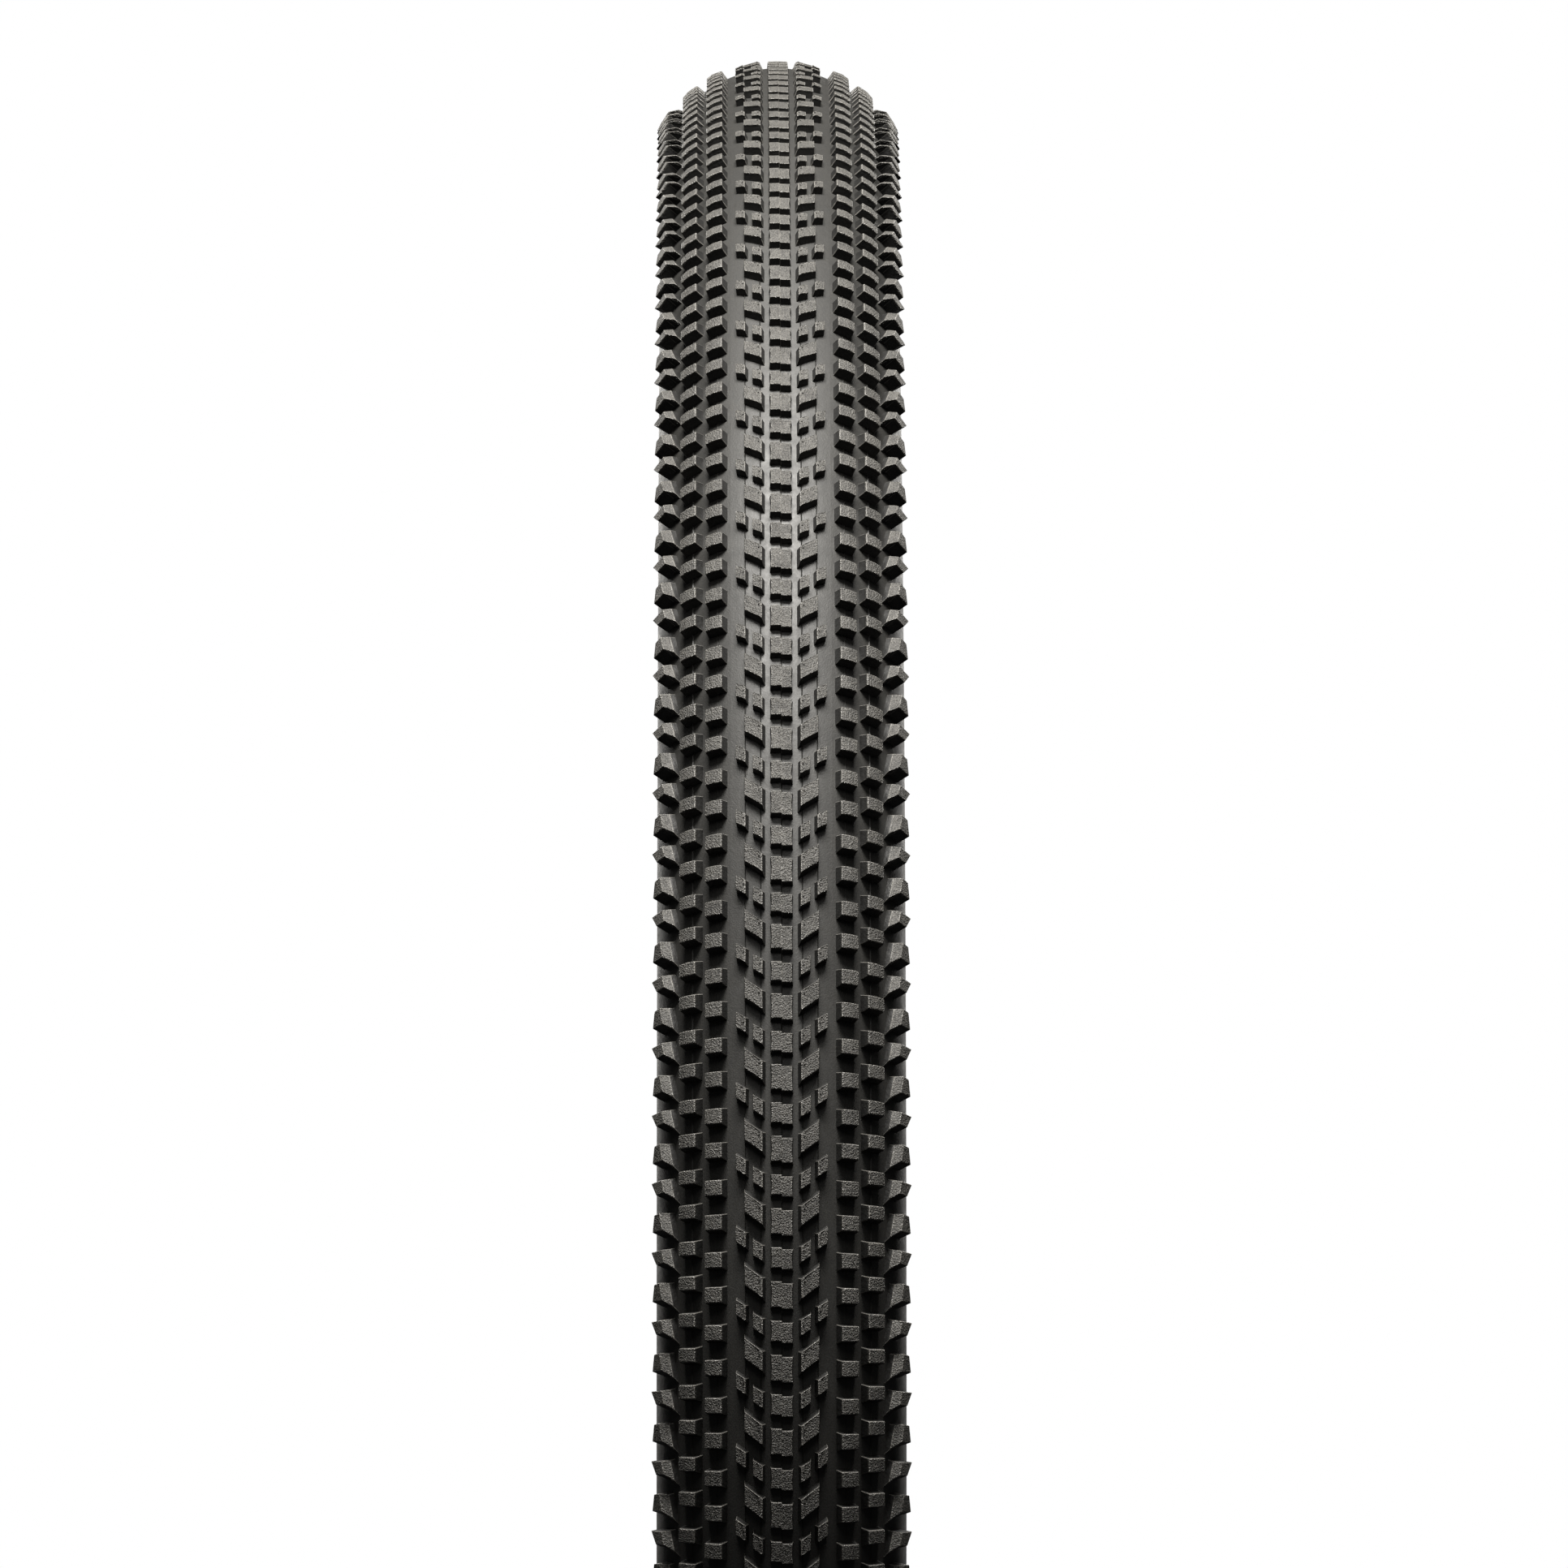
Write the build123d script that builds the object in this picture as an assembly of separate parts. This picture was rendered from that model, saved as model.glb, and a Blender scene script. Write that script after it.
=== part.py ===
from build123d import *
import math
import os

# Bicycle tyre, 65-584 (27.5 x 2.6). Millimetres, +Z up.
# The wheel axis is +Y and the origin is the wheel centre. Sections are drawn in the XY plane
# on the +X side of the wheel, where X is the distance from the axis and Y runs across the tyre.

# ---- wheel and casing ----
seat_radius = 292.0         # rim bead seat, 584 across
rim_width = 31.2            # over the heels of the two beads
crown_radius = 31.1         # casing cross-section under the tread
side_radius = 27.1          # casing cross-section at the sidewalls
blend_angle = 45.0          # section angle where the crown arc meets the sidewall arc
clinch_radius = 4.0         # reverse bend of the outside, just above the rim

# ---- layers ----
belt_thickness = 0.4
under_tread_thickness = 0.5     # over the belt
tread_thickness = 1.0           # between the knobs
sidewall_thickness = 0.8
chafer_thickness = 0.6
ply_thickness = 0.5
liner_thickness = 0.4
bead_core_radius = 1.8
turn_up_gap = 0.6           # the ply's turned-up edge stops this far short of the ply
chafer_height = 11.0        # outer edge of the rim strip, above the bead seat
heel_radius = 0.8

# Section angles, from the crown.
belt_angle = 58.0
joint_angle = 22.5          # where the centre compound meets the shoulder compound
wing_angle = 76.0           # edge of the tread, where the sidewall skin begins

# ---- tread ----
# Each row of knobs is a rib as wide and as high as the row: section angles of the edges of its
# top, height over the tread between the knobs, and how many degrees its foot reaches past them.
# The gaps between one knob and the next, round the tyre, are left out.
centre_rib = dict(inner=0.0, outer=4.45, height=1.9, foot=0.8)
ramp_rib = dict(inner=7.9, outer=19.0, height=1.95, foot=1.5)
square_rib = dict(inner=25.0, outer=32.2, height=2.6, foot=1.3)
edge_rib = dict(inner=37.6, outer=45.6, height=2.6, foot=1.5)
shoulder_rib = dict(inner=50.0, outer=70.0, height=3.2, foot=3.0)
rib_sink = 0.3              # how far a rib's foot is buried in the tread
rib_steps = 4               # flats across the top of a rib

# ---- worked out from the values above ----
half_rim = rim_width / 2
under_depth = belt_thickness + under_tread_thickness
tread_depth = under_depth + tread_thickness
core_radius_place = seat_radius + chafer_thickness + ply_thickness + bead_core_radius
core_across = half_rim - chafer_thickness - ply_thickness - bead_core_radius
# The casing runs down to the bead at 45 degrees and just touches the core, which places it.
side_end = 135.0
crown_centre = core_radius_place - core_across + math.sqrt(2) * (side_radius + bead_core_radius)
blend = math.radians(blend_angle)
side_centre = crown_centre + (crown_radius - side_radius) * math.cos(blend)
side_across = (crown_radius - side_radius) * math.sin(blend)
tyre_radius = crown_centre + crown_radius + tread_depth + centre_rib["height"]
core_centre = Vector(core_radius_place, core_across)
turn_up_top = crown_centre - math.sqrt(2) * side_radius + core_across + bead_core_radius - turn_up_gap


def casing_point(angle, height):
    """The place at a section angle (right is positive), a height above the casing."""
    turn = math.radians(abs(angle))
    if abs(angle) <= blend_angle:
        reach = crown_radius + height
        radius, across = crown_centre + reach * math.cos(turn), reach * math.sin(turn)
    else:
        reach = side_radius + height
        radius, across = side_centre + reach * math.cos(turn), side_across + reach * math.sin(turn)
    return Vector(radius, math.copysign(across, angle))


def slope_point(radius, height):
    """The place on the straight run above the bead, at a distance from the axis."""
    return Vector(radius, radius - crown_centre + math.sqrt(2) * (side_radius + height))


def casing_edges(first, last, height):
    """Edges parallel to the casing, between two section angles on the right."""
    edges = []
    for start, end in ((0.0, blend_angle), (blend_angle, side_end)):
        low, high = max(first, start), min(last, end)
        if high > low:
            stops = (low, (low + high) / 2, high)
            edges.append(ThreePointArc(*[casing_point(stop, height) for stop in stops]))
    return edges


def strip_face(upper, lower):
    """The flat face between two runs of edges that start together and end together."""
    ends = [Line(upper[0] @ 0, lower[0] @ 0), Line(upper[-1] @ 1, lower[-1] @ 1)]
    return make_face([*upper, *lower, *ends])


def both_sides(face):
    return face + mirror(face, Plane.XZ)


def ring(face):
    """A section, turned once round the wheel axis."""
    return revolve(face, Axis.Y, 360)


def crown_layer(last, bottom, top):
    """A layer over the crown, out to a section angle on both sides."""
    return both_sides(strip_face(casing_edges(0, last, top), casing_edges(0, last, bottom)))


def round_core(gap, end_angle):
    """Down the inside of the core and round it, at a gap, from the straight run to an angle.

    The angle is measured from straight inwards, across the tyre, towards the wheel axis."""
    reach = bead_core_radius + gap

    def at(degrees):
        turn = math.radians(degrees)
        return core_centre + Vector(-math.sin(turn), -math.cos(turn)) * reach

    start = -45.0
    return ThreePointArc(at(start), at((start + end_angle) / 2), at(end_angle))


def inner_layer(top, bottom):
    """A layer inside the outer ply, from the rim strip at one bead to the other."""
    floor = seat_radius + chafer_thickness
    runs = []
    for depth in (top, bottom):
        run = casing_edges(0, side_end, -depth)
        bend = round_core(depth, 0.0)
        run += [Line(run[-1] @ 1, bend @ 0), bend, Line(bend @ 1, (floor, (bend @ 1).Y))]
        runs.append(run)
    return both_sides(strip_face(*runs))


def outer_ply():
    """The outer ply passes inside the core, under it and up again outside it."""
    runs = []
    for depth in (0.0, ply_thickness):
        run = casing_edges(0, side_end, -depth)
        bend = round_core(depth, 180.0)
        run += [Line(run[-1] @ 1, bend @ 0), bend, Line(bend @ 1, (turn_up_top, (bend @ 1).Y))]
        runs.append(run)
    return both_sides(strip_face(*runs))


def filler():
    """The wedge of hard rubber on the core, between the ply and its turn-up."""
    foot = core_radius_place + bead_core_radius
    outer_side = core_across + bead_core_radius
    corners = [
        slope_point(foot, 0),
        (foot, outer_side),
        (turn_up_top, outer_side),
        slope_point(turn_up_top, 0),
    ]
    return make_face(Polyline(*corners, close=True))


def rim_strip():
    """The rim strip: down the outside of the bead, round the heel and across the bead seat."""
    edge = seat_radius + chafer_height
    floor = seat_radius + chafer_thickness
    toe = core_across - bead_core_radius - 2 * ply_thickness - liner_thickness
    inner_side = half_rim - chafer_thickness
    outside = FilletPolyline(
        slope_point(edge, sidewall_thickness),
        (half_rim - slope_point(0, sidewall_thickness).Y, half_rim),
        (seat_radius, half_rim),
        (seat_radius, toe),
        radius=[clinch_radius, heel_radius],
    )
    inside = Polyline(
        (seat_radius, toe),
        (floor, toe),
        (floor, inner_side),
        (inner_side - slope_point(0, 0).Y, inner_side),
        slope_point(edge, 0),
        slope_point(edge, sidewall_thickness),
    )
    return make_face([*outside.edges(), *inside.edges()])


def sidewall():
    """The skin of the sidewall, from the wing of the tread down to the rim strip."""
    edge = seat_radius + chafer_height
    runs = []
    for height in (sidewall_thickness, 0.0):
        run = casing_edges(wing_angle, side_end, height)
        runs.append(run + [Line(run[-1] @ 1, slope_point(edge, height))])
    return strip_face(*runs)


def under_tread():
    """The base rubber under the whole tread, over the edges of the belt."""
    whole = strip_face(casing_edges(0, wing_angle, under_depth), casing_edges(0, wing_angle, 0.0))
    return both_sides(whole) - crown_layer(belt_angle, 0.0, belt_thickness)


def rib(inner, outer, height, foot):
    """The section of one row of knobs."""
    root = tread_depth - rib_sink
    span = (outer - inner) / rib_steps
    flats = [inner + span * step for step in range(rib_steps + 1)]
    corners = [casing_point(max(inner - foot, 0.0), root)]
    corners += [casing_point(angle, tread_depth + height) for angle in flats]
    corners.append(casing_point(outer + foot, root))
    corners += [casing_point(angle, root) for angle in reversed(flats[1:-1])]
    return make_face(Polyline(*corners, close=True))


def tread_strip(first, last, ribs):
    """The right-hand section of a strip of tread between two section angles."""
    face = strip_face(casing_edges(first, last, tread_depth), casing_edges(first, last, under_depth))
    for row in ribs:
        face += rib(**row)
    return face


def make_parts():
    """Every node of the tyre, by name. Left is towards -Y."""
    two_plies = 2 * ply_thickness
    parts = {
        "inner_liner": ring(inner_layer(two_plies, two_plies + liner_thickness)),
        "casing_ply_inner": ring(inner_layer(ply_thickness, two_plies)),
        "casing_ply_outer": ring(outer_ply()),
        "puncture_belt": ring(crown_layer(belt_angle, 0.0, belt_thickness)),
        "under_tread": ring(under_tread()),
        "tread_centre": ring(both_sides(tread_strip(0.0, joint_angle, [centre_rib, ramp_rib]))),
    }
    paired = {
        "tread_shoulder": tread_strip(joint_angle, wing_angle, [square_rib, edge_rib, shoulder_rib]),
        "sidewall": sidewall(),
        "rim_strip": rim_strip(),
        "bead_core": Pos(core_centre) * Circle(bead_core_radius),
        "bead_filler": filler(),
    }
    for name, face in paired.items():
        parts[name + "_right"] = ring(face)
        parts[name + "_left"] = ring(mirror(face, Plane.XZ))
    return parts


os.makedirs("parts", exist_ok=True)
for name, solid in make_parts().items():
    export_step(solid, f"parts/{name}.step")
print(f"tyre radius {tyre_radius:.2f}")
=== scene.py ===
import math
import bpy
import bmesh
from mathutils import Matrix, Vector


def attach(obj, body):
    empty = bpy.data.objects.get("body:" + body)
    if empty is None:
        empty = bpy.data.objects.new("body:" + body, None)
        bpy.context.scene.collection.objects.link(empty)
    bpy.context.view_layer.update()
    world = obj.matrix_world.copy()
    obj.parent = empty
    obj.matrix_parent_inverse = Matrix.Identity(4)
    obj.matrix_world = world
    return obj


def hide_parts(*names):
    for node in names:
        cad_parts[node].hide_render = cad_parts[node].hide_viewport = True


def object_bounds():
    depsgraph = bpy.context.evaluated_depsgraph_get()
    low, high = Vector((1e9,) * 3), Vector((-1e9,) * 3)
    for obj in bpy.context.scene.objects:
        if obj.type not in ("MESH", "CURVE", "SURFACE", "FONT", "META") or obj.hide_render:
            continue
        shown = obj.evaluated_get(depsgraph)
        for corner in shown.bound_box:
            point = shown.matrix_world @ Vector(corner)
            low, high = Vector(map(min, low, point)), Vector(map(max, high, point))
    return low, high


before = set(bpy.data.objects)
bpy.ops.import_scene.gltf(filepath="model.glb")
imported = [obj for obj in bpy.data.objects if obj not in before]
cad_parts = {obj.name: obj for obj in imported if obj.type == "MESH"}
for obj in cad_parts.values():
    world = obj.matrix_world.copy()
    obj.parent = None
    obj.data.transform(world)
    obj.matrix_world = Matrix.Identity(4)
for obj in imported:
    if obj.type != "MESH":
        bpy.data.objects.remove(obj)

# A 65-584 bicycle tyre. Metres, wheel axis +Y, origin at the wheel centre, +Z up.
# Knobs are first made flat, in millimetres: x across the tread, y up the tread, z the height
# over the tread base. wrapOntoTyre then bends them onto the crown.

cadLow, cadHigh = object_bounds()
mm = 0.001
tyreRadius = cadHigh.z / mm
print("frame loaded, tyre radius", round(tyreRadius, 2))

casing = {
    "lugHeight": 1.9,
    "treadDepth": 1.9,        # casing line to tread base
    "crownRadius": 31.1,      # casing cross-section under the tread
    "sideRadius": 27.1,       # casing cross-section at the sidewall
    "blendAngle": 45.0,
    "arcRadius": 34.0,        # section arc that x is measured along
    "pitchLength": 18.14,
}
crownCentre = tyreRadius - casing["lugHeight"] - casing["treadDepth"] - casing["crownRadius"]
blendTurn = math.radians(casing["blendAngle"])
sideShift = casing["crownRadius"] - casing["sideRadius"]
pitchCount = round(2 * math.pi * tyreRadius / casing["pitchLength"])
pitchTurn = 2 * math.pi / pitchCount


# Distance from the axis and across the tyre, in millimetres, at a section angle in degrees.
def sectionPoint(angle, height):
    turn = math.radians(abs(angle))
    if abs(angle) <= casing["blendAngle"]:
        reach = casing["crownRadius"] + height
        radius, across = crownCentre + reach * math.cos(turn), reach * math.sin(turn)
    else:
        reach = casing["sideRadius"] + height
        radius = crownCentre + sideShift * math.cos(blendTurn) + reach * math.cos(turn)
        across = sideShift * math.sin(blendTurn) + reach * math.sin(turn)
    return radius, math.copysign(across, angle)


# The straight run of the section above the bead, at a distance from the axis.
def slopePoint(radius, height):
    return radius, radius - crownCentre + math.sqrt(2) * (casing["sideRadius"] + height)


mouldLine = {
    "halfWidth": 0.13,
    "height": 0.22,
    "reach": 1.5,            # half widths from its middle, within which a top is raised
    "above": 0.8,            # share of the knob's height, above which it is raised
}
knobMaking = {
    "sink": 0.35,            # how far a knob's root is buried in the tread base
    "leastMiter": 0.3,       # limits how far a sharp corner of the root runs out
    "cornerAngle": 0.3,      # radians between two faces, past which their edge is rounded
    "topSlope": 0.5,         # least upward share of a top face's normal
}
pip = {"rootRadius": 0.32, "topRadius": 0.18, "length": 0.7, "middle": -0.05}    # middle from the knob's top
smoothAngle = {"knobs": 14.0, "spun": 32.0}    # degrees, past which an edge is shaded sharp


# Bend flat knobs onto the crown. side is 1 on the right and -1 on the left.
def wrapOntoTyre(bm, side, step):
    for vert in bm.verts:
        angle = side * math.degrees(vert.co.x / casing["arcRadius"])
        radius, across = sectionPoint(angle, casing["treadDepth"] + vert.co.z)
        turn = (vert.co.y - step) / tyreRadius
        vert.co = Vector((radius * math.cos(turn), across, radius * math.sin(turn))) * mm


# Copy one pitch of knobs all the way round the wheel axis.
def copyRound(bm):
    onePitch = bm.verts[:] + bm.edges[:] + bm.faces[:]
    for count in range(1, pitchCount):
        copied = bmesh.ops.duplicate(bm, geom=onePitch)["geom"]
        moved = [item for item in copied if isinstance(item, bmesh.types.BMVert)]
        bmesh.ops.rotate(bm, cent=(0, 0, 0), matrix=Matrix.Rotation(-count * pitchTurn, 3, "Y"), verts=moved)


# The corners of an outline after every side moves out by a distance.
def grownOutline(outline, distance):
    corners = []
    for index, corner in enumerate(outline):
        here, before = Vector(corner), Vector(outline[index - 1])
        after = Vector(outline[(index + 1) % len(outline)])
        sideIn, sideOut = (here - before).normalized(), (after - here).normalized()
        normalIn, normalOut = Vector((sideIn.y, -sideIn.x)), Vector((sideOut.y, -sideOut.x))
        mid = (normalIn + normalOut).normalized()
        corners.append(here + mid * (distance / max(mid.dot(normalIn), knobMaking["leastMiter"])))
    return corners


# A knob from the counter-clockwise outline of its top, drafted out to a root buried in the tread base.
# lines are where the mould's parting lines cross it, rise lifts single corners, ridge folds the top
# between two corners and keepRight is the furthest left that the root may reach.
def addKnob(bm, outline, shape, place, lines=(), rise=None, ridge=None, keepRight=None):
    old = set(bm.verts)
    height = shape["height"]
    root = grownOutline(outline, shape["grow"])
    for index in shape.get("footCorners", ()):
        root[index].y -= shape["foot"]
    if keepRight is not None:
        root = [Vector((max(corner.x, keepRight), corner.y)) for corner in root]
    face = bm.faces.new([bm.verts.new((corner.x, corner.y, -knobMaking["sink"])) for corner in root])
    raised = bmesh.ops.extrude_face_region(bm, geom=[face], use_keep_orig=True)["geom"]
    tops = {}
    for vert in [item for item in raised if isinstance(item, bmesh.types.BMVert)]:
        index = min(range(len(root)), key=lambda corner: (root[corner] - vert.co.xy).length)
        vert.co = Vector((*outline[index], height + (rise[index] if rise else 0.0)))
        tops[index] = vert
    if ridge:
        bmesh.ops.connect_vert_pair(bm, verts=[tops[index] for index in ridge])
    own = [vert for vert in bm.verts if vert not in old]
    for line in lines:
        for side in (-1, 1):
            edges = list({edge for vert in own for edge in vert.link_edges})
            faces = list({face for vert in own for face in vert.link_faces})
            bmesh.ops.bisect_plane(bm, geom=own + edges + faces, dist=1e-5,
                                   plane_co=(line + side * mouldLine["halfWidth"], 0, 0), plane_no=(1, 0, 0))
            own = [vert for vert in bm.verts if vert not in old]
    faces = list({face for vert in own for face in vert.link_faces})
    bmesh.ops.recalc_face_normals(bm, faces=faces)
    corners = [edge for edge in {edge for face in faces for edge in face.edges}
               if len(edge.link_faces) == 2 and edge.calc_face_angle() > knobMaking["cornerAngle"]
               and max(vert.co.z for vert in edge.verts) > 0]
    rounded = bmesh.ops.bevel(bm, geom=corners, offset=shape["bevel"], affect="EDGES",
                              segments=2, profile=0.5, material=-1)
    # The rounded edges are marked for a painted highlight colour and a lower roughness.
    for face in rounded["faces"]:
        face[bm.faces.layers.float["glossAndPaintedHighlight"]] = 1.0
    bm.normal_update()
    own = [vert for vert in bm.verts if vert not in old]
    layer = bm.verts.layers.float["lift"]
    for vert in own:
        onTop = any(face.normal.z > knobMaking["topSlope"] for face in vert.link_faces)
        vert[layer] = 1.0 if onTop else 0.0
    near, above = mouldLine["halfWidth"] * mouldLine["reach"], mouldLine["above"] * height
    for line in lines:
        for vert in own:
            if abs(vert.co.x - line) < near and vert.co.z > above:
                vert.co.z += mouldLine["height"]
    for vert in own:
        vert.co.y += place


# The nub that a mould's vent leaves on a knob.
def addPip(bm, x, y, height):
    place = Matrix.Translation((x, y, height + pip["middle"]))
    made = bmesh.ops.create_cone(bm, cap_ends=True, segments=6, radius1=pip["rootRadius"],
                                 radius2=pip["topRadius"], depth=pip["length"], matrix=place)
    layer = bm.verts.layers.float["lift"]
    for vert in made["verts"]:
        vert[layer] = 1.0


def newKnobMesh():
    bm = bmesh.new()
    # The lift attribute brings in the knob tops' lighter tone, partly their sandblasted finish and partly
    # painted light.
    bm.verts.layers.float.new("lift")      # 1 on the tops of knobs
    # The edge attribute brings a painted highlight colour onto the rounded edges, besides a lower roughness.
    bm.faces.layers.float.new("glossAndPaintedHighlight")    # 1 on their rounded edges
    return bm


# Turn a bmesh into a piece that rides on the tyre. kind is a key of smoothAngle.
def finishMesh(bm, name, material, kind):
    bmesh.ops.recalc_face_normals(bm, faces=bm.faces[:])
    mesh = bpy.data.meshes.new(name)
    bm.to_mesh(mesh)
    bm.free()
    mesh.polygons.foreach_set("use_smooth", [True] * len(mesh.polygons))
    mesh.set_sharp_from_angle(angle=math.radians(smoothAngle[kind]))
    mesh.materials.append(material)
    piece = bpy.data.objects.new(name, mesh)
    bpy.context.scene.collection.objects.link(piece)
    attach(piece, "root")
    print("made", name, len(mesh.polygons), "faces")
    return piece


# An empty shader group with named sockets: (name, type, default).
def nodeGroup(name, inputs, outputs):
    group = bpy.data.node_groups.new(name, "ShaderNodeTree")
    for socketName, kind, value in inputs:
        socket = group.interface.new_socket(name=socketName, in_out="INPUT", socket_type=kind)
        socket.default_value = value
    for socketName, kind in outputs:
        group.interface.new_socket(name=socketName, in_out="OUTPUT", socket_type=kind)
    return group, group.nodes.new("NodeGroupInput"), group.nodes.new("NodeGroupOutput")


def addNoise(nodes, links, vector, scale, detail):
    noise = nodes.new("ShaderNodeTexNoise")
    noise.inputs["Scale"].default_value = scale
    noise.inputs["Detail"].default_value = detail
    links.new(vector, noise.inputs["Vector"])
    return noise.outputs["Fac"]


def addRange(nodes, links, value, low, high, toLow, toHigh):
    ranged = nodes.new("ShaderNodeMapRange")
    for name, number in (("From Min", low), ("From Max", high), ("To Min", toLow), ("To Max", toHigh)):
        ranged.inputs[name].default_value = number
    links.new(value, ranged.inputs["Value"])
    return ranged.outputs["Result"]


def addMath(nodes, links, kind, first, second):
    sums = nodes.new("ShaderNodeMath")
    sums.operation = kind
    for index, item in enumerate((first, second)):
        if isinstance(item, (int, float)):
            sums.inputs[index].default_value = item
        else:
            links.new(item, sums.inputs[index])
    return sums.outputs[0]


# A colour mix. Each of its inputs is a plain value or another node's output.
def addMix(nodes, links, kind, factor, first, second):
    mix = nodes.new("ShaderNodeMix")
    mix.data_type = "RGBA"
    mix.blend_type = kind
    for name, item in (("Factor", factor), ("A", first), ("B", second)):
        if isinstance(item, (float, tuple)):
            mix.inputs[name].default_value = item
        else:
            links.new(item, mix.inputs[name])
    return mix.outputs["Result"]


rubberLook = {
    "sand": (2700.0, 1.0),                     # noise scale and detail
    "pores": (1100.0, 3.0),
    "cloud": (70.0, 4.0),
    "bloom": (300.0, 3.0),
    "poreHeight": 0.3,
    "cloudTone": (0.3, 0.7, 0.72, 1.0),        # noise from and to, result from and to
    "bloomTone": (0.3, 0.7, -0.12, 0.3),
    "sandTone": (0.35, 0.68, -0.5, 0.75),
    "bloomGloss": (0.3, 0.7, 0.05, -0.05),
    "poreGloss": (0.3, 0.7, -0.03, 0.03),
}


# Sand grain from the mould, cloudy bloom and dust, as tone, roughness and height.
def makeRubberGroup():
    inputs = [("Vector", "NodeSocketVector", (0, 0, 0)), ("Grain", "NodeSocketFloat", 1.0)]
    outputs = [("Tone", "NodeSocketFloat"), ("Gloss", "NodeSocketFloat"), ("Height", "NodeSocketFloat")]
    group, start, end = nodeGroup("rubberSurface", inputs, outputs)
    nodes, links = group.nodes, group.links
    vector, grain = start.outputs["Vector"], start.outputs["Grain"]
    sand, pores, cloud, bloom = [addNoise(nodes, links, vector, *rubberLook[noise])
                                 for noise in ("sand", "pores", "cloud", "bloom")]
    sandHeight = addMath(nodes, links, "MULTIPLY", sand, grain)
    poreHeight = addMath(nodes, links, "MULTIPLY", pores, rubberLook["poreHeight"])
    height = addMath(nodes, links, "ADD", sandHeight, poreHeight)
    cloudTone = addRange(nodes, links, cloud, *rubberLook["cloudTone"])
    bloomTone = addRange(nodes, links, bloom, *rubberLook["bloomTone"])
    blotch = addMath(nodes, links, "ADD", cloudTone, bloomTone)
    sandTone = addRange(nodes, links, sand, *rubberLook["sandTone"])
    speck = addMath(nodes, links, "MULTIPLY", sandTone, grain)
    bloomGloss = addRange(nodes, links, bloom, *rubberLook["bloomGloss"])
    poreGloss = addRange(nodes, links, pores, *rubberLook["poreGloss"])
    gloss = addMath(nodes, links, "ADD", bloomGloss, poreGloss)
    links.new(addMath(nodes, links, "ADD", blotch, speck), end.inputs["Tone"])
    links.new(gloss, end.inputs["Gloss"])
    links.new(height, end.inputs["Height"])
    return group


cordRadius = 0.32    # metres from the axis, where the cords lie at 45 degrees


# Crossed cords that show through a thin skin, slanted to the way the wheel rolls.
def makeCordGroup():
    inputs = [("Vector", "NodeSocketVector", (0, 0, 0)), ("Pitch", "NodeSocketFloat", 0.0012)]
    group, start, end = nodeGroup("cordLines", inputs, [("Height", "NodeSocketFloat")])
    nodes, links = group.nodes, group.links
    parts = nodes.new("ShaderNodeSeparateXYZ")
    links.new(start.outputs["Vector"], parts.inputs[0])
    square = [addMath(nodes, links, "POWER", parts.outputs[axis], 2.0) for axis in ("X", "Z")]
    radius = addMath(nodes, links, "SQRT", addMath(nodes, links, "ADD", *square), 0.0)
    turn = addMath(nodes, links, "ARCTAN2", parts.outputs["Z"], parts.outputs["X"])
    along = addMath(nodes, links, "MULTIPLY", turn, cordRadius)
    aside = addMath(nodes, links, "ABSOLUTE", parts.outputs["Y"], 0.0)
    slant = addMath(nodes, links, "SUBTRACT", radius, aside)
    waves = []
    for kind in ("ADD", "SUBTRACT"):
        place = addMath(nodes, links, kind, along, slant)
        cordNumber = addMath(nodes, links, "DIVIDE", place, start.outputs["Pitch"])
        phase = addMath(nodes, links, "MULTIPLY", cordNumber, 2 * math.pi)
        waves.append(addMath(nodes, links, "SINE", phase, 0.0))
    links.new(addMath(nodes, links, "MAXIMUM", *waves), end.inputs["Height"])
    return group
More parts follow.
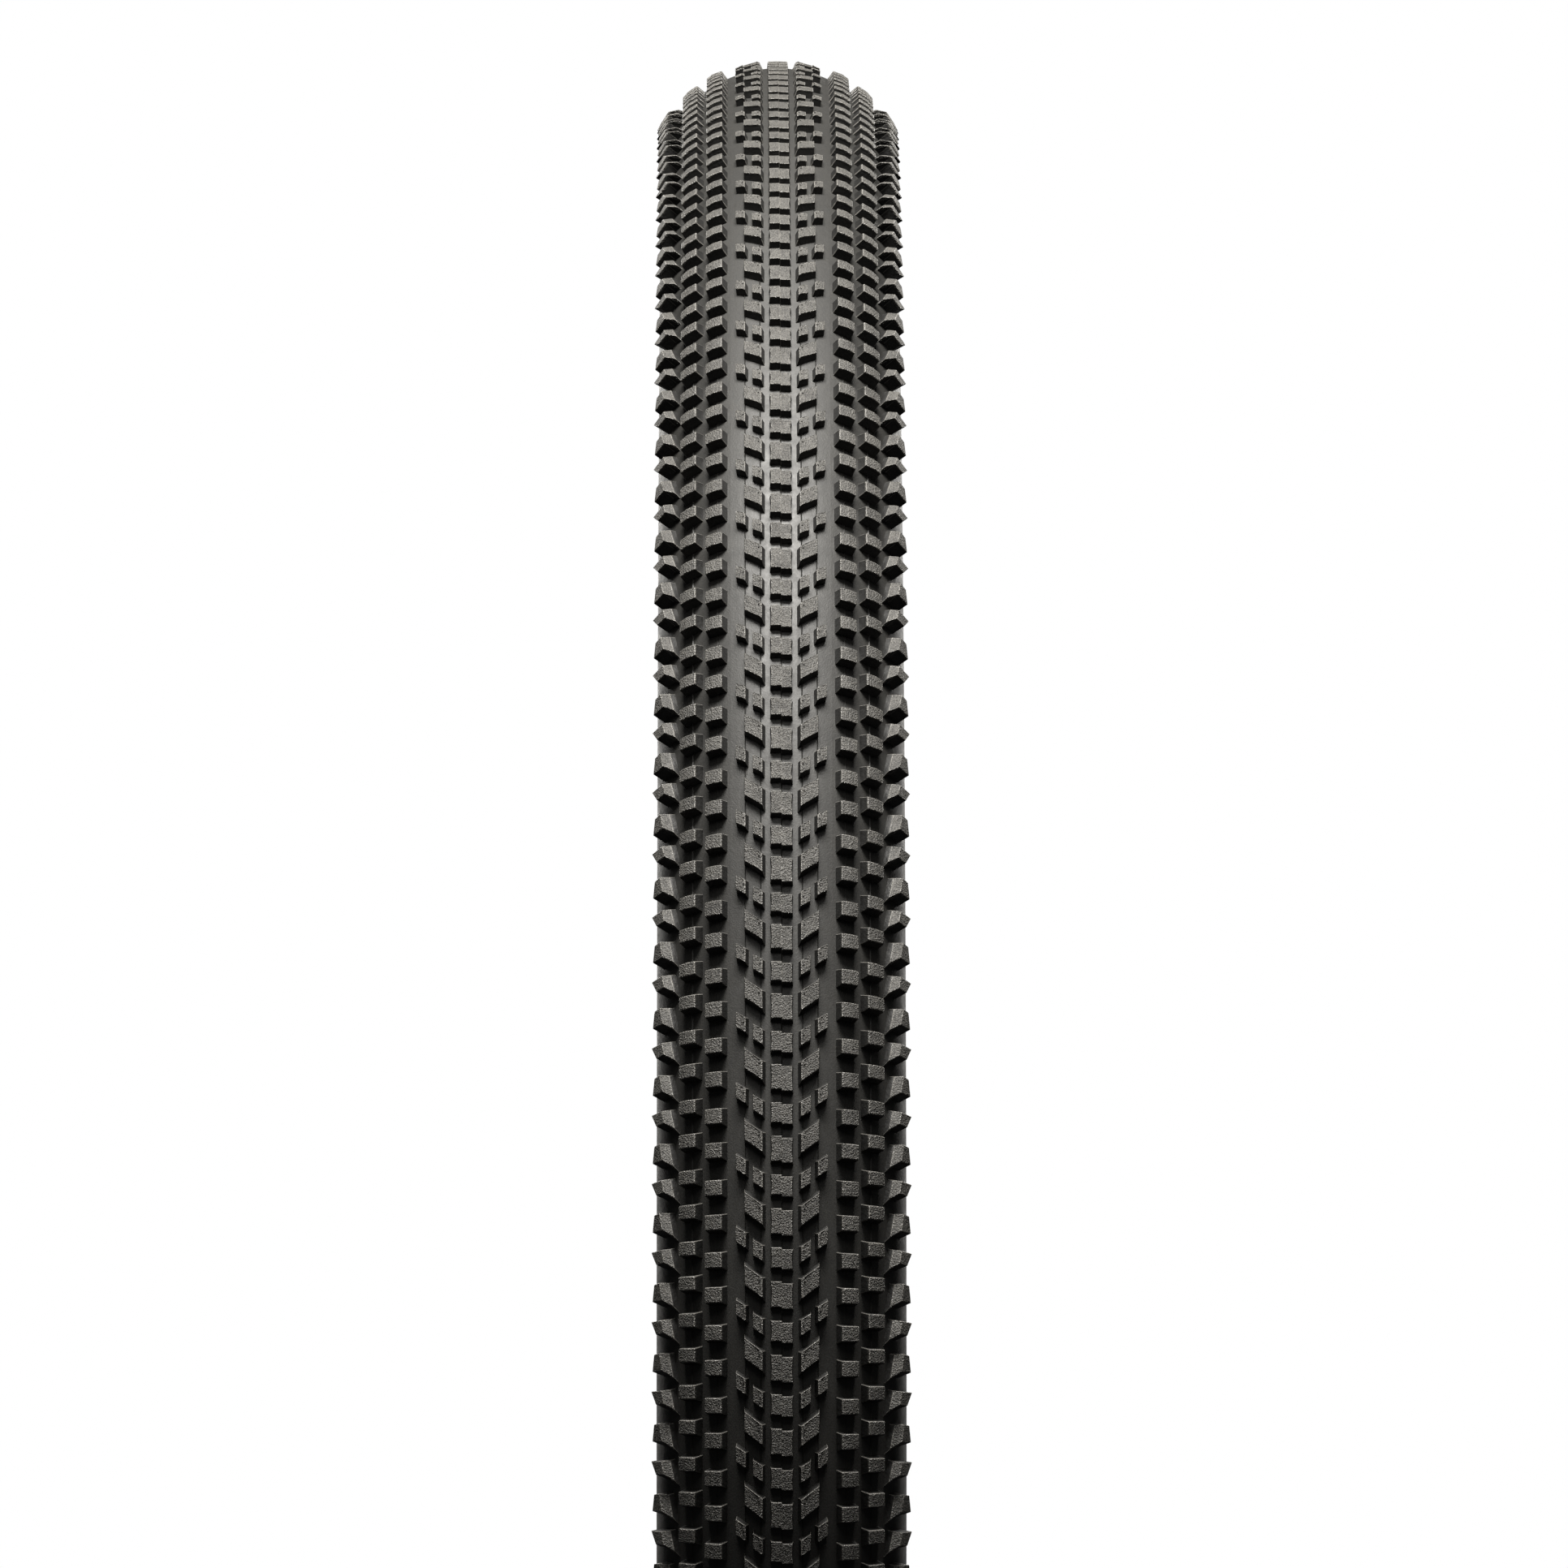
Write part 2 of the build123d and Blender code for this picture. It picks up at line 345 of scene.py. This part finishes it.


# A dull moulded rubber. Where a top colour is given, the lift attribute brings it in on the tops of the
# knobs, partly their sandblasted finish and partly painted light, with painted shade on the darker walls; a
# second attribute brings a painted highlight colour and a lower roughness onto their rounded edges.
def rubberMaterial(name, finish):
    material = bpy.data.materials.new(name)
    material.use_nodes = True
    nodes, links = material.node_tree.nodes, material.node_tree.links
    shader = nodes["Principled BSDF"]
    shader.inputs["Specular IOR Level"].default_value = finish["specular"]
    shader.inputs["Metallic"].default_value = finish.get("metallic", 0.0)
    coords = nodes.new("ShaderNodeTexCoord").outputs["Object"]
    surface = nodes.new("ShaderNodeGroup")
    surface.node_tree = rubberSurface
    links.new(coords, surface.inputs["Vector"])
    surface.inputs["Grain"].default_value = finish["grain"]
    colour = (*finish["colour"], 1)
    roughness = addMath(nodes, links, "ADD", surface.outputs["Gloss"], finish["roughness"])
    if "topFinishAndPaintedLight" in finish:
        lift = nodes.new("ShaderNodeAttribute")
        lift.attribute_name = "lift"
        glossAndPaintedHighlight = nodes.new("ShaderNodeAttribute")
        glossAndPaintedHighlight.attribute_name = "glossAndPaintedHighlight"
        top = addRange(nodes, links, lift.outputs["Fac"], *finish["topRange"], 0.0, 1.0)
        grain = addRange(nodes, links, top, 0.0, 1.0, finish["grain"], finish["topGrain"])
        links.new(grain, surface.inputs["Grain"])
        # Tops lighter, partly their sandblasted finish and partly painted light; the walls keep the darker
        # colour as painted shade.
        colour = addMix(nodes, links, "MIX", top, colour, (*finish["topFinishAndPaintedLight"], 1))
        # A painted highlight colour on the rounded edges.
        colour = addMix(nodes, links, "MIX", glossAndPaintedHighlight.outputs["Fac"], colour, (*finish["paintedEdgeHighlight"], 1))
        dull = addMath(nodes, links, "MULTIPLY", top, finish["topDull"])
        shine = addMath(nodes, links, "MULTIPLY", glossAndPaintedHighlight.outputs["Fac"], finish["edgeShine"])
        change = addMath(nodes, links, "SUBTRACT", dull, shine)
        roughness = addMath(nodes, links, "ADD", roughness, change)
    tinted = addMix(nodes, links, "MULTIPLY", 1.0, colour, surface.outputs["Tone"])
    links.new(tinted, shader.inputs["Base Color"])
    links.new(roughness, shader.inputs["Roughness"])
    height = surface.outputs["Height"]
    if "cords" in finish:
        cords = nodes.new("ShaderNodeGroup")
        cords.node_tree = cordLines
        cords.inputs["Pitch"].default_value = finish["cordPitch"]
        links.new(coords, cords.inputs["Vector"])
        cordHeight = addMath(nodes, links, "MULTIPLY", cords.outputs["Height"], finish["cords"])
        height = addMath(nodes, links, "ADD", height, cordHeight)
    bump = nodes.new("ShaderNodeBump")
    bump.inputs["Distance"].default_value = finish["bump"]
    links.new(height, bump.inputs["Height"])
    links.new(bump.outputs["Normal"], shader.inputs["Normal"])
    return material


rubberSurface = makeRubberGroup()
cordLines = makeCordGroup()
finishes = {
    # treadRubber: colour is darkened as painted shade on the knobs' walls, the top colour is partly the
    # tops' sandblasted finish and partly painted light, and the edge colour is a painted highlight.
    "treadRubber": {"colour": (0.006, 0.0058, 0.0053), "roughness": 0.5, "specular": 0.5, "grain": 0.12,
                    "bump": 0.0004, "topFinishAndPaintedLight": (0.042, 0.040, 0.036), "topRange": (0.8, 0.98),
                    "topGrain": 1.0, "topDull": 0.16, "paintedEdgeHighlight": (0.10, 0.096, 0.088),
                    "edgeShine": 0.22},
    "baseRubber": {"colour": (0.016, 0.0155, 0.014), "roughness": 0.57, "specular": 0.5, "grain": 0.4,
                   "bump": 0.00009},
    "sideRubber": {"colour": (0.024, 0.024, 0.023), "roughness": 0.5, "specular": 0.45, "grain": 0.1,
                   "bump": 0.00005, "cords": 0.35, "cordPitch": 0.0011},
    "rimRubber": {"colour": (0.018, 0.018, 0.018), "roughness": 0.6, "specular": 0.4, "grain": 0.2,
                  "bump": 0.00008, "cords": 0.6, "cordPitch": 0.0016},
    "linerRubber": {"colour": (0.040, 0.039, 0.037), "roughness": 0.62, "specular": 0.35, "grain": 0.1,
                    "bump": 0.00008, "cords": 0.7, "cordPitch": 0.0014},
    "plyFabric": {"colour": (0.10, 0.095, 0.085), "roughness": 0.75, "specular": 0.3, "grain": 0.3,
                  "bump": 0.0001, "cords": 1.0, "cordPitch": 0.0008},
    "beltFabric": {"colour": (0.20, 0.17, 0.10), "roughness": 0.8, "specular": 0.3, "grain": 0.4,
                   "bump": 0.0001, "cords": 1.0, "cordPitch": 0.0006},
    "beadWire": {"colour": (0.50, 0.40, 0.27), "roughness": 0.38, "specular": 0.5, "grain": 0.2,
                 "bump": 0.00002, "metallic": 1.0},
}
rubber = {name: rubberMaterial(name, finish) for name, finish in finishes.items()}
insideNodes = {
    "baseRubber": ["under_tread", "bead_filler_left", "bead_filler_right"],
    "plyFabric": ["casing_ply_outer", "casing_ply_inner"],
    "beltFabric": ["puncture_belt"],
    "beadWire": ["bead_core_left", "bead_core_right"],
}
for finish, nodeNames in insideNodes.items():
    for nodeName in nodeNames:
        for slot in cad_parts[nodeName].material_slots:
            slot.material = rubber[finish]
print("rubber and fabrics ready")

# The tread base is three closed bands spun round the axis, with the mould's parting lines.
treadBase = {
    "thickness": 1.0,
    "jointAngle": 22.5,
    "wingAngle": 76.0,
    "partingAngles": [0.0, 9.0, 15.8, 28.8, 41.9],
    "lineHeight": 0.25,
    "lineHalfAngle": 0.32,
    "step": 2.5,             # degrees between the points of its section
    "clear": 1.0,            # no parting line this near the edge of a band
    "closest": 0.05,         # points nearer than this to a parting line make way for it
    "stepsPerPitch": 3,
}


# Spin a closed section, given as (radius, across) in millimetres, round the wheel axis.
def spinSection(points, name, material, steps):
    bm = bmesh.new()
    verts = [bm.verts.new((radius * mm, across * mm, 0)) for radius, across in points]
    edges = [bm.edges.new((verts[index], verts[(index + 1) % len(verts)])) for index in range(len(verts))]
    bmesh.ops.spin(bm, geom=verts + edges, cent=(0, 0, 0), axis=(0, 1, 0), angle=2 * math.pi,
                   steps=steps, use_merge=True)
    bmesh.ops.remove_doubles(bm, verts=bm.verts[:], dist=1e-7)
    return finishMesh(bm, name, material, "spun")


# The section of the tread base between two signed angles.
def bandSection(first, last):
    angles = {first, last}
    count = math.ceil(abs(last - first) / treadBase["step"])
    angles.update(first + (last - first) * index / count for index in range(count + 1))
    heights = {angle: 0.0 for angle in angles}
    for parting in treadBase["partingAngles"]:
        for angle in {parting, -parting}:
            if first + treadBase["clear"] < angle < last - treadBase["clear"]:
                for offset in (-1, 0, 1):
                    near = angle + offset * treadBase["lineHalfAngle"]
                    heights = {at: height for at, height in heights.items()
                               if abs(at - near) > treadBase["closest"] or at in (first, last)}
                    heights[near] = treadBase["lineHeight"] if offset == 0 else 0.0
    outer = [sectionPoint(angle, casing["treadDepth"] + heights[angle]) for angle in sorted(heights)]
    under = casing["treadDepth"] - treadBase["thickness"]
    inner = [sectionPoint(last + (first - last) * index / count, under) for index in range(count + 1)]
    return outer + inner


bandSteps = pitchCount * treadBase["stepsPerPitch"]
joint, wing = treadBase["jointAngle"], treadBase["wingAngle"]
bands = {
    "treadBaseCentre": (-joint, joint, "tread_centre"),
    "treadBaseRight": (joint, wing, "tread_shoulder_right"),
    "treadBaseLeft": (-wing, -joint, "tread_shoulder_left"),
}
for name, (first, last, node) in bands.items():
    band = spinSection(bandSection(first, last), name, rubber["baseRubber"], bandSteps)
    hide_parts(node)
print("tread base ready")

# Each sidewall is the skin from the wing of the tread down to the rim strip, with moulded rings.
sidewall = {
    "skin": 0.8,
    "edgeDrop": 0.05,        # its top edge lies this far under the tread base
    "edgeSteps": [(1.5, 1.35), (3.0, 0.98)],    # degrees past the tread's edge, height
    "taperAngle": 5.0,       # over which the edge of the tread comes down to the skin
    "rings": [(88.0, 0.22), (90.5, 0.22), (112.0, 0.15), (126.0, 0.15)],    # section angle, height
    "ringHalfAngle": 0.6,
    "ringClear": 1.2,        # half angles from a ring, within which other points make way
    "ringTop": 3,            # a ring is this many times as wide as its flat top
    "rimLineRadius": 307.5,
    "rimLineHeight": 0.35,
    "rimLineHalfWidth": 0.45,
    "rimStripEdge": 303.0,
    "sideEnd": 135.0,
    "step": 3.0,
    "stepsPerPitch": 3,
}


def sidewallSection():
    first, end = wing, sidewall["sideEnd"]
    heights = {first: casing["treadDepth"] - sidewall["edgeDrop"]}
    heights.update((first + past, height) for past, height in sidewall["edgeSteps"])
    count = math.ceil((end - first) / sidewall["step"])
    for index in range(count + 1):
        angle = first + (end - first) * index / count
        if angle > first + sidewall["taperAngle"]:
            heights[angle] = sidewall["skin"]
    heights[first + sidewall["taperAngle"]] = sidewall["skin"]
    for ringAngle, ringHeight in sidewall["rings"]:
        reach = sidewall["ringHalfAngle"]
        flat = reach / sidewall["ringTop"]
        heights = {angle: height for angle, height in heights.items()
                   if abs(angle - ringAngle) > reach * sidewall["ringClear"]}
        heights[ringAngle - reach] = heights[ringAngle + reach] = sidewall["skin"]
        heights[ringAngle - flat] = heights[ringAngle + flat] = sidewall["skin"] + ringHeight
    outer = [sectionPoint(angle, heights[angle]) for angle in sorted(heights)]
    for offset, lift in ((1, 0), (0.4, 1), (-0.4, 1), (-1, 0)):
        radius = sidewall["rimLineRadius"] + offset * sidewall["rimLineHalfWidth"]
        outer.append(slopePoint(radius, sidewall["skin"] + lift * sidewall["rimLineHeight"]))
    outer.append(slopePoint(sidewall["rimStripEdge"], sidewall["skin"]))
    inner = [sectionPoint(end + (first - end) * index / count, 0.0) for index in range(count + 1)]
    return outer + [slopePoint(sidewall["rimStripEdge"], 0.0)] + inner


# Points round a corner of a section, from the side before it to the side after it.
def roundCorner(before, corner, after, radius, steps):
    before, corner, after = Vector(before), Vector(corner), Vector(after)
    toBefore, toAfter = (before - corner).normalized(), (after - corner).normalized()
    half = toBefore.angle(toAfter) / 2
    centre = corner + (toBefore + toAfter).normalized() * radius / math.sin(half)
    first = corner + toBefore * radius / math.tan(half) - centre
    last = corner + toAfter * radius / math.tan(half) - centre
    return [tuple(centre + first.slerp(last, index / steps)) for index in range(steps + 1)]


# Each rim strip runs down the outside of a bead, round the heel and across the bead seat.
rimStrip = {
    "seatRadius": 292.0,
    "heelAcross": 15.6,
    "toeAcross": 9.5,
    "thickness": 0.6,
    "clinchRadius": 4.0,
    "clinchSteps": 6,
    "heelRadius": 0.8,
    "heelSteps": 4,
    "overlap": 0.5,          # how far the strip runs up past the sidewall's lower edge
    "lipPlace": 0.2,         # where its lip is, above the same edge
    "edgeLip": 0.25,         # the strip's outer edge stands this far off the sidewall's skin
}


def rimStripSection():
    edge, skin = sidewall["rimStripEdge"], sidewall["skin"]
    seat, heel, toe = rimStrip["seatRadius"], rimStrip["heelAcross"], rimStrip["toeAcross"]
    end = edge + rimStrip["overlap"]
    clinch = (heel - slopePoint(0, skin)[1], heel)
    points = [slopePoint(end, skin), slopePoint(edge + rimStrip["lipPlace"], skin + rimStrip["edgeLip"])]
    points += roundCorner(slopePoint(edge, skin), clinch, (seat, heel), rimStrip["clinchRadius"],
                          rimStrip["clinchSteps"])
    points += roundCorner(clinch, (seat, heel), (seat, toe), rimStrip["heelRadius"], rimStrip["heelSteps"])
    inside = rimStrip["thickness"]
    points += [(seat, toe), (seat + inside, toe), (seat + inside, heel - inside)]
    return points + [(heel - inside - slopePoint(0, 0)[1], heel - inside), slopePoint(end, 0)]


# The liner is the inside of the tyre, from toe to toe.
liner = {
    "near": -1.0,            # heights of its two faces from the casing line
    "far": -1.4,
    "coreRadius": 294.9,
    "coreAcross": 12.7,
    "coreSize": 1.8,
    "bendAngles": [0, -15, -30, -45],    # round the bead, from straight across the tyre
    "step": 4.5,
    "stepsPerPitch": 2,
    "floorRadius": 292.6,
}


def linerFace(height):
    count = math.ceil(2 * sidewall["sideEnd"] / liner["step"])
    arc = [sectionPoint(sidewall["sideEnd"] * (1 - 2 * index / count), height) for index in range(count + 1)]
    reach = liner["coreSize"] - height
    bend = []
    for degrees in liner["bendAngles"]:
        turn = math.radians(degrees)
        radius = liner["coreRadius"] - reach * math.sin(turn)
        bend.append((radius, liner["coreAcross"] - reach * math.cos(turn)))
    right = [(liner["floorRadius"], bend[0][1])] + bend
    return right + arc + [(radius, -across) for radius, across in reversed(right)]


sideSteps = pitchCount * sidewall["stepsPerPitch"]
for word, side in (("Right", 1), ("Left", -1)):
    sideName = word.lower()
    for name, section, nodeName, finish, slotName in (
        ("sidewall", sidewallSection(), "sidewall_" + sideName, "sideRubber", "sidewall_rubber"),
        ("rimStrip", rimStripSection(), "rim_strip_" + sideName, "rimRubber", "rim_strip_rubber"),
    ):
        points = [(radius, side * across) for radius, across in section]
        piece = spinSection(points, name + word, rubber[finish], sideSteps)
        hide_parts(nodeName)
linerSection = linerFace(liner["near"]) + linerFace(liner["far"])[::-1]
linerSteps = pitchCount * liner["stepsPerPitch"]
piece = spinSection(linerSection, "innerLiner", rubber["linerRubber"], linerSteps)
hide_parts("inner_liner")
print("sidewalls, rim strips and liner ready")

# Knobs. Their outlines are in degrees of section angle and millimetres up the tread. pip is where a
# vent's nub stands, from the parting line and from the middle of the knob.
toArc = math.radians(1) * casing["arcRadius"]
partingStep = 0.5       # right half of a centre lug behind the left half
rowStep = 0.25          # the other right-hand rows behind the left-hand ones
lugShape = {
    "edge": 4.3, "waist": 4.02, "height": 1.9, "grow": 0.45, "bevel": 0.13,
    "lugs": [(0.0, 6.2), (9.07, 4.9)],    # place up the tread, length
}
rampShape = {
    "inner": 8.0, "outer": 15.2, "length": 4.75, "slope": 0.75, "height": 2.0, "grow": 0.75,
    "bevel": 0.13, "place": 3.25, "lines": [9.0], "pip": (0.1, 0.3),
}
smallShapes = [
    {"inner": 7.9, "outer": 11.75, "length": 3.75, "slope": 0.62, "height": 1.9, "grow": 0.5,
     "bevel": 0.14, "place": 10.95, "lines": [9.0], "pip": (-0.1, 0.1)},
    {"inner": 15.0, "outer": 19.0, "length": 3.7, "slope": 0.62, "height": 1.9, "grow": 0.5,
     "bevel": 0.14, "place": 14.3, "lines": [15.9], "pip": (-0.1, 0.1)},
]
squareShape = {
    "inner": 24.9, "outer": 32.2, "length": 3.75, "height": 2.6, "grow": 0.6, "bevel": 0.16,
    "line": 28.7, "lean": 0.12, "places": [0.05, 8.75], "pip": (0.45, -0.2),
}
edgeShape = {
    "inner": 37.4, "outer": 45.4, "length": 3.4, "height": 2.6, "grow": 0.75, "bevel": 0.18,
    "line": 41.6, "lean": 0.15, "places": [3.3, 12.1], "pip": (0.45, -0.2),
}
shoulderShape = {
    "height": 3.3, "grow": 0.4, "bevel": 0.15, "ridge": (1, 4), "footCorners": (0, 1, 2), "foot": 0.9,
    "rise": [-1.8, 0.0, 0.1, 0.1, 0.0, -1.8],
}
shoulderOutlines = [
    (0.0, [(51.9, -2.1), (56.0, -0.5), (64.2, -0.7), (62.6, 3.7), (58.3, 4.1), (55.3, 3.9)]),
    (9.07, [(51.0, -1.4), (54.7, 0.1), (60.8, -0.2), (65.4, 3.2), (56.5, 3.45), (54.2, 3.7)]),
]


# A four-sided outline whose ends run up the tread as they run out.
def slantOutline(inner, outer, length, slope):
    low, high = inner * toArc, outer * toArc
    middle = (low + high) / 2
    corners = [(low, -1), (high, -1), (high, 1), (low, 1)]
    return [(x, end * length / 2 + slope * (x - middle)) for x, end in corners]


def finishKnobs(bm, side, step, name, node):
    wrapOntoTyre(bm, side, step)
    copyRound(bm)
    piece = finishMesh(bm, name, rubber["treadRubber"], "knobs")
    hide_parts(node)


def buildKnobs(side, word):
    step = rowStep if side > 0 else 0.0
    node = "tread_shoulder_right" if side > 0 else "tread_shoulder_left"
    bm = newKnobMesh()
    for place, length in lugShape["lugs"]:
        edge, waist, half = lugShape["edge"] * toArc, lugShape["waist"] * toArc, length / 2
        outline = [(0.0, -half), (edge, -half), (waist, 0.0), (edge, half), (0.0, half)]
        addKnob(bm, outline, lugShape, place, keepRight=0.0)
    finishKnobs(bm, side, partingStep if side > 0 else 0.0, "centreLugs" + word, "tread_centre")

    bm = newKnobMesh()
    for shape in (rampShape, *smallShapes):
        outline = slantOutline(shape["inner"], shape["outer"], shape["length"], shape["slope"])
        lines = [angle * toArc for angle in shape["lines"]]
        addKnob(bm, outline, shape, shape["place"], lines)
        pipX, pipY = shape["pip"]
        addPip(bm, lines[0] + pipX, shape["place"] + pipY, shape["height"])
    finishKnobs(bm, side, step, "rampBlocks" + word, "tread_centre")

    for shape, name in ((squareShape, "squareKnobs"), (edgeShape, "edgeKnobs")):
        bm = newKnobMesh()
        for place in shape["places"]:
            outline = slantOutline(shape["inner"], shape["outer"], shape["length"], 0.0)
            line = shape["line"] * toArc
            rise = [0.0, shape["lean"], shape["lean"], 0.0]
            addKnob(bm, outline, shape, place, [line], rise)
            pipX, pipY = shape["pip"]
            addPip(bm, line + pipX, place + pipY, shape["height"])
        finishKnobs(bm, side, step, name + word, node)

    bm = newKnobMesh()
    for place, corners in shoulderOutlines:
        outline = [(angle * toArc, up) for angle, up in corners]
        addKnob(bm, outline, shoulderShape, place, rise=shoulderShape["rise"], ridge=shoulderShape["ridge"])
    finishKnobs(bm, side, step, "shoulderKnobs" + word, node)


buildKnobs(1, "Right")
buildKnobs(-1, "Left")
print("knobs ready")

view = {
    "distance": 11.385,      # in tyre radii
    "elevation": -0.862,     # degrees, as are pitch and yaw
    "pitch": 3.16,
    "yaw": 0.222,
    "aside": -0.0139,
    "lens": 346.6,
}
camera = bpy.data.objects.new("camera", bpy.data.cameras.new("camera"))
camera.data.lens = view["lens"]
camera.data.sensor_width = 36.0
away = view["distance"] * tyreRadius * mm
camera.location = (away * math.cos(math.radians(view["elevation"])), view["aside"],
                   away * math.sin(math.radians(view["elevation"])))
pitch, yaw = math.radians(view["pitch"]), math.radians(view["yaw"])
aim = Vector((-math.cos(pitch) * math.cos(yaw), math.cos(pitch) * math.sin(yaw), math.sin(pitch)))
camera.rotation_euler = aim.to_track_quat("-Z", "Y").to_euler()
camera.data.clip_end = 100.0
bpy.context.scene.collection.objects.link(camera)
bpy.context.scene.camera = camera


lampColour = (1.0, 0.975, 0.93)


def addArea(name, place, target, size, power):
    data = bpy.data.lights.new(name, "AREA")
    data.shape = "RECTANGLE"
    data.size, data.size_y = size
    data.energy = power
    data.color = lampColour
    light = bpy.data.objects.new(name, data)
    light.location = place
    light.rotation_euler = (Vector(target) - Vector(place)).to_track_quat("-Z", "Y").to_euler()
    light.visible_camera = False
    bpy.context.scene.collection.objects.link(light)


addArea("overheadBox", (0.6, 0.0, 1.4), (0.25, 0, 0.2), (0.75, 0.4), 68.0)
addArea("frontFill", (2.2, 0.0, 2.2), (0.35, 0, 0), (1.0, 1.0), 16.0)
addArea("leftBox", (-3.2, -1.35, 0.9), (0, 0, 0), (1.4, 1.4), 60.0)
addArea("rightBox", (-3.2, 1.35, 0.9), (0, 0, 0), (1.4, 1.4), 60.0)
bpy.context.scene.view_settings.view_transform = "Standard"

studio = {
    "backdrop": 1.0,         # what the camera sees
    "ambient": 0.035,        # what lights the tyre
    "floorSize": 8.0,
    "floorDrop": 0.0005,
    "floorGrey": 0.25,
    "floorRoughness": 0.9,
    "floorGlow": 0.62,
}
world = bpy.data.worlds.new("studio")
bpy.context.scene.world = world
world.use_nodes = True
worldNodes, worldLinks = world.node_tree.nodes, world.node_tree.links
seen = worldNodes["Background"]
seen.inputs["Color"].default_value = (1, 1, 1, 1)
seen.inputs["Strength"].default_value = studio["backdrop"]
dim = worldNodes.new("ShaderNodeBackground")
dim.inputs["Color"].default_value = (1, 1, 1, 1)
dim.inputs["Strength"].default_value = studio["ambient"]
path = worldNodes.new("ShaderNodeLightPath")
blend = worldNodes.new("ShaderNodeMixShader")
worldLinks.new(path.outputs["Is Camera Ray"], blend.inputs["Fac"])
worldLinks.new(dim.outputs[0], blend.inputs[1])
worldLinks.new(seen.outputs[0], blend.inputs[2])
worldLinks.new(blend.outputs[0], worldNodes["World Output"].inputs["Surface"])

floorMesh = bpy.data.meshes.new("floor")
bm = bmesh.new()
floorPlace = Matrix.Translation((0, 0, cadLow.z - studio["floorDrop"]))
bmesh.ops.create_grid(bm, x_segments=1, y_segments=1, size=studio["floorSize"], matrix=floorPlace)
bm.to_mesh(floorMesh)
bm.free()
floor = bpy.data.objects.new("floor", floorMesh)
floorPaint = bpy.data.materials.new("floorPaint")
floorPaint.use_nodes = True
floorShader = floorPaint.node_tree.nodes["Principled BSDF"]
floorShader.inputs["Base Color"].default_value = (*[studio["floorGrey"]] * 3, 1)
floorShader.inputs["Roughness"].default_value = studio["floorRoughness"]
floorShader.inputs["Emission Color"].default_value = (1, 1, 1, 1)
floorShader.inputs["Emission Strength"].default_value = studio["floorGlow"]
floorMesh.materials.append(floorPaint)
bpy.context.scene.collection.objects.link(floor)
floor.visible_diffuse = False      # its bounce would light the tread from below
floor.visible_glossy = False
bpy.context.view_layer.update()
